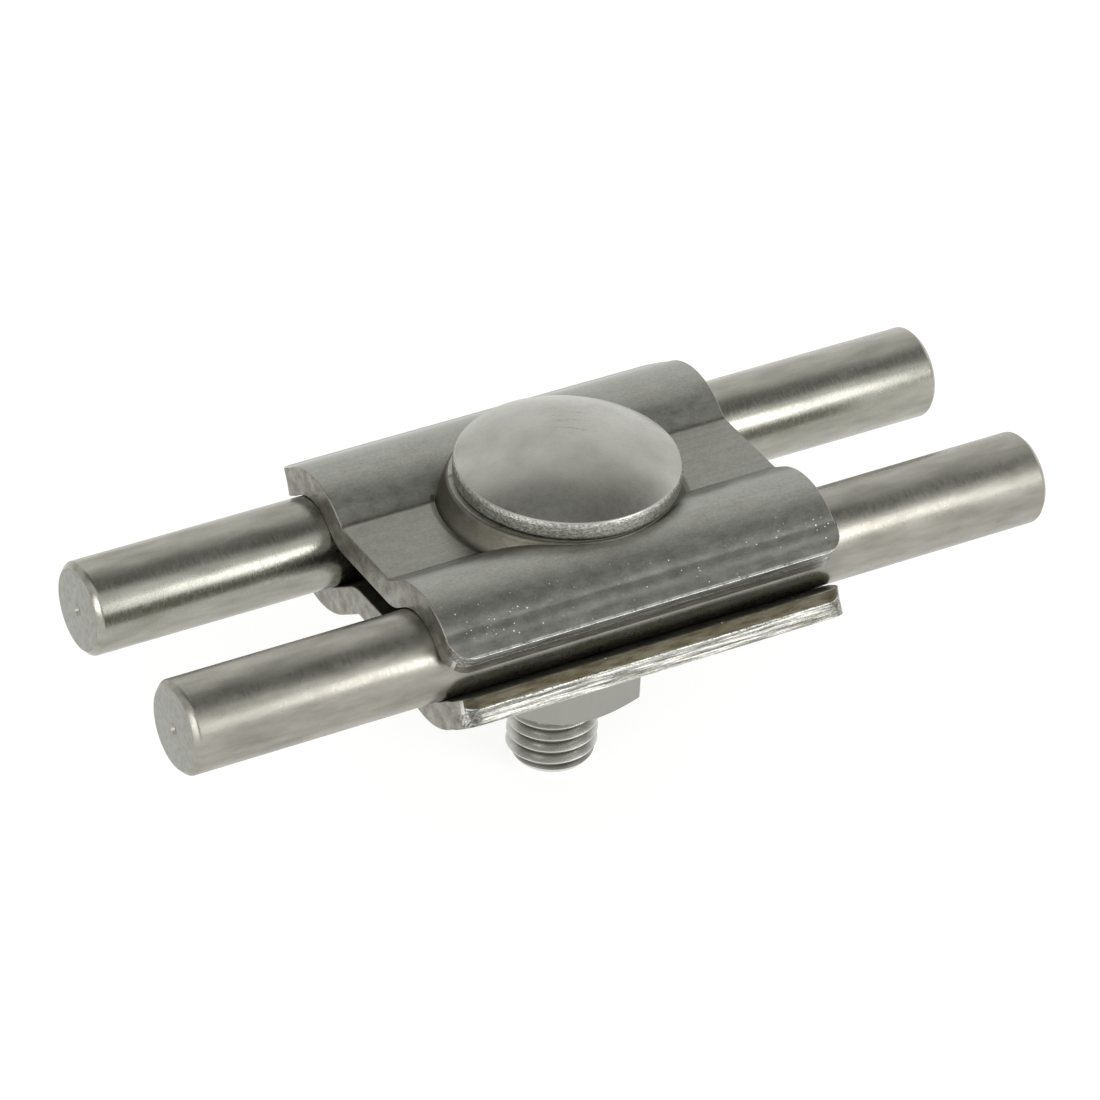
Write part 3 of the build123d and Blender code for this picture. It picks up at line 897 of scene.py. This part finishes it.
def modelThread():
    # One pitch of the profile, from root to root, carried down the shank by a screw modifier
    root = (bolt["threadRadius"] - bolt["threadDepth"]) * mm
    crest = bolt["threadRadius"] * mm
    pitch = bolt["pitch"] * mm
    turns = math.ceil((bolt["threadTop"] - bolt["tip"]) / bolt["pitch"]) + 3
    start = bolt["tip"] * mm - 2 * pitch
    shoulder = crest - bolt["crestRound"] * mm
    profile = [(root, 0), (root, 0.12), (shoulder, 0.45), (crest, 0.49),
               (crest, 0.55), (shoulder, 0.59), (root, 0.92), (root, 1.0)]
    here = (root, 0, start)
    thread = addPoint("thread", here)
    for radius, share in profile[1:]:
        here = drawTo(here, (radius, 0, start + share * pitch))
    endEdit()
    applyModifier(thread, "SCREW", angle=math.tau, screw_offset=pitch, iterations=turns, steps=96,
                  render_steps=96, axis="Z", use_merge_vertices=True, merge_threshold=0.001 * mm)
    startEdit(thread)
    selectAll()
    bpy.ops.mesh.remove_doubles(threshold=0.001 * mm)
    bpy.ops.mesh.fill_holes(sides=0)
    bpy.ops.mesh.normals_make_consistent(inside=False)
    endEdit()
    tip = bolt["tip"] * mm
    crestOut = crest + 0.02 * mm
    envelope = turnOnLathe("envelope", [
        (0, tip), (bolt["tipRadius"] * mm, tip), (crestOut, tip + bolt["tipTaper"] * mm),
        (crestOut, (bolt["threadTop"] - bolt["runOut"]) * mm),
        (bolt["shankRadius"] * mm, bolt["threadTop"] * mm), (0, bolt["threadTop"] * mm)])
    carve(thread, envelope, "INTERSECT")
    return thread


modelBolt()
print("bolt modelled")


# Nut

nut = {
    "flats": 17.0,
    "top": -9.2,
    "height": 8.4,
    "faceRadius": 8.1,
    "coneAngle": 30.0,
    "turned": 4.0,
    "boreRadius": 4.95,
    "mouth": 0.6,
    "edgeRound": 0.15,
}


def modelNut():
    top = nut["top"] * mm
    bottom = top - nut["height"] * mm
    corner = nut["flats"] / 2 / math.cos(math.radians(30)) * mm
    bpy.ops.mesh.primitive_cylinder_add(
        vertices=6, radius=corner, depth=nut["height"] * mm, location=(0, 0, (top + bottom) / 2),
        rotation=(0, 0, math.radians(nut["turned"] - 90)))
    piece = bpy.context.object
    piece.name = "hex-nut"
    bpy.ops.object.transform_apply()
    face = nut["faceRadius"] * mm
    reach = 0.6 * nut["flats"] * mm
    drop = (reach - face) * math.tan(math.radians(nut["coneAngle"]))
    turned = turnOnLathe("turned", [
        (0, top), (face, top), (reach, top - drop),
        (reach, bottom + drop), (face, bottom), (0, bottom)], steps=160)
    carve(piece, turned, "INTERSECT")
    bore = nut["boreRadius"] * mm
    mouth = nut["mouth"] * mm
    clear = 1 * mm
    boreTool = turnOnLathe("bore", [
        (0, top + clear), (bore + mouth + clear, top + clear), (bore, top - mouth),
        (bore, bottom + mouth), (bore + mouth + clear, bottom - clear), (0, bottom - clear)])
    carve(piece, boreTool, "DIFFERENCE")
    closeSeams(piece)
    applyModifier(piece, "BEVEL", width=nut["edgeRound"] * mm, segments=3,
                  limit_method="ANGLE", angle_limit=math.radians(25))
    finishPiece(piece, "nut", "hex_nut", [nutSteel])


modelNut()
print("nut modelled")


# Camera, where the photograph was taken from

view = {
    "azimuth": -31.999,
    "elevation": 35.019,
    "roll": 3.388,
    "distance": 0.647,
    "target": (-0.002076, -0.000869, 0),
    "sensor": 36.0,
    "focalShare": 6251.2 / 1100,
}


def placeCamera():
    azimuth, elevation, roll = (math.radians(view[angle]) for angle in ("azimuth", "elevation", "roll"))
    flat = math.cos(elevation)
    back = Vector((math.sin(azimuth) * flat, -math.cos(azimuth) * flat, math.sin(elevation)))
    right = (-back).cross(Vector((0, 0, 1))).normalized()
    up = right.cross(-back)
    rolledRight = right * math.cos(roll) + up * math.sin(roll)
    rolledUp = up * math.cos(roll) - right * math.sin(roll)
    camera = bpy.data.objects.new("camera", bpy.data.cameras.new("camera"))
    bpy.context.scene.collection.objects.link(camera)
    turned = Matrix((rolledRight, rolledUp, back)).transposed().to_4x4()
    camera.matrix_world = Matrix.Translation(Vector(view["target"]) + back * view["distance"]) @ turned
    camera.data.sensor_width = view["sensor"]
    camera.data.lens = view["sensor"] * view["focalShare"]
    camera.data.clip_start = 0.01
    camera.data.clip_end = 100
    bpy.context.scene.camera = camera


placeCamera()


# Floor and light

studio = {
    "floorLevel": -27.2,
    "floorColour": "#a9a9a7",
    "floorGlow": 0.74,
    "frontLight": {"power": 3.0, "from": (0.434, -0.81, 0.395), "distance": 1.1, "size": (0.6, 0.36)},
    "leftLight": {"power": 2.4, "from": (-0.9, -0.36, 0.24), "distance": 1.1, "size": (0.5, 0.5)},
    "wallColour": "#ffffff",
    "leftShade": "#e4e4e3",
    "panelStops": [
        (0.08, "#ffffff"), (0.15, "#d0d0ce"), (0.2, "#989896"), (0.25, "#7e7e7c"), (0.4, "#80807e"),
        (0.51, "#989896"), (0.58, "#b4b4b2"), (0.635, "#dadad8"), (0.75, "#f0f0ef"), (0.95, "#ffffff")],
    "panelSides": (1.6, 0.9),
    "panelFoot": (0.1, 0.3),
    "slantFrom": 0.3,
    "slant": 0.75,
    "leftFrom": (0.5, 0.0),
}


def makeFloor():
    bpy.ops.mesh.primitive_plane_add(size=12, location=(0, 0, studio["floorLevel"] * mm))
    floor = bpy.context.object
    floor.name = "floor"
    bpy.ops.object.transform_apply()
    material = bpy.data.materials.new("white-card")
    material.use_nodes = True
    tree = material.node_tree
    shader = tree.nodes["Principled BSDF"]
    camera = addNode(tree, "LightPath", {}, {}, "Is Camera Ray")
    glossy = addNode(tree, "LightPath", {}, {}, "Is Glossy Ray")
    through = addNode(tree, "LightPath", {}, {}, "Is Transmission Ray")
    direct = addNode(tree, "Math", {"operation": "ADD"}, {0: camera, 1: glossy})
    seen = addNode(tree, "Math", {"operation": "ADD"}, {0: direct, 1: through})
    glow = addNode(tree, "Math", {"operation": "MULTIPLY", 1: studio["floorGlow"]}, {0: seen})
    settings = {"Base Color": srgb(studio["floorColour"]), "Roughness": 0.9, "Specular IOR Level": 0.1,
                "Emission Color": srgb("#ffffff")}
    fillNode(tree, shader, settings, {"Emission Strength": glow})
    below = addNode(tree, "NewGeometry", {}, {}, "Backfacing")
    clear = addNode(tree, "BsdfTransparent", {}, {})
    card = addNode(tree, "MixShader", {}, {0: below, 1: shader.outputs["BSDF"], 2: clear})
    tree.links.new(card, tree.nodes["Material Output"].inputs["Surface"])
    floor.data.materials.append(material)


def makeWorld():
    # White walls all round, a little darker on the left. Overhead, in front of the object, hangs a
    # darker panel that slants on the left. Steel that leans to the front shows it. Directions are
    # divided by their height, so that they say where on a ceiling they point.
    world = bpy.data.worlds.new("studio")
    bpy.context.scene.world = world
    world.use_nodes = True
    tree = world.node_tree
    direction = addNode(tree, "TexCoord", {}, {}, "Generated")
    x, y, z = (addNode(tree, "SeparateXYZ", {}, {"Vector": direction}, axis) for axis in "XYZ")
    above = addNode(tree, "Math", {"operation": "MAXIMUM", 1: 0.05}, {0: z})
    alongY = addNode(tree, "Math", {"operation": "DIVIDE"}, {0: y, 1: above})
    alongX = addNode(tree, "Math", {"operation": "DIVIDE"}, {0: x, 1: above})
    awayX = addNode(tree, "Math", absolute, {0: alongX})
    leftward = addNode(tree, "Math", {"operation": "SUBTRACT", 1: studio["slantFrom"]}, {0: alongX})
    leftOnly = addNode(tree, "Math", {"operation": "MINIMUM", 1: 0.0}, {0: leftward})
    slanted = addNode(tree, "Math", {"operation": "MULTIPLY_ADD", 1: studio["slant"]},
                      {0: leftOnly, 2: alongY})
    panelY = addNode(tree, "MapRange", {"span": (-1.0, 1.0)}, {"Value": slanted})
    panel = addNode(tree, "ValToRGB", {"stops": studio["panelStops"]}, {"Fac": panelY})
    inside = addNode(tree, "MapRange", {"span": studio["panelSides"]}, {"Value": awayX})
    high = addNode(tree, "MapRange", {"span": studio["panelFoot"]}, {"Value": z})
    share = addNode(tree, "Math", multiply, {0: inside, 1: high})
    camera = addNode(tree, "LightPath", {}, {}, "Is Camera Ray")
    unseen = addNode(tree, "Math", {"operation": "SUBTRACT", 0: 1.0}, {1: camera})
    amount = addNode(tree, "Math", multiply, {0: share, 1: unseen})
    leftSide = addNode(tree, "MapRange", {"span": studio["leftFrom"]}, {"Value": alongX})
    leftAmount = addNode(tree, "Math", multiply, {0: leftSide, 1: unseen})
    wallTones = {"data_type": "RGBA", 6: srgb(studio["wallColour"]), 7: srgb(studio["leftShade"])}
    walls = addNode(tree, "Mix", wallTones, {0: leftAmount}, 2)
    shade = addNode(tree, "Mix", {"data_type": "RGBA"}, {0: amount, 6: walls, 7: panel}, 2)
    fillNode(tree, tree.nodes["Background"], {"Strength": 1.0}, {"Color": shade})


def makeSoftbox(name, light):
    lamp = bpy.data.lights.new(name, "AREA")
    lamp.shape = "RECTANGLE"
    lamp.size, lamp.size_y = light["size"]
    lamp.energy = light["power"]
    box = bpy.data.objects.new(name, lamp)
    bpy.context.scene.collection.objects.link(box)
    away = Vector(light["from"]).normalized()
    box.location = away * light["distance"]
    box.rotation_euler = away.to_track_quat("Z", "Y").to_euler()


makeFloor()
makeWorld()
makeSoftbox("front-softbox", studio["frontLight"])
makeSoftbox("left-softbox", studio["leftLight"])
bpy.context.scene.view_settings.view_transform = "Standard"
print("studio set")
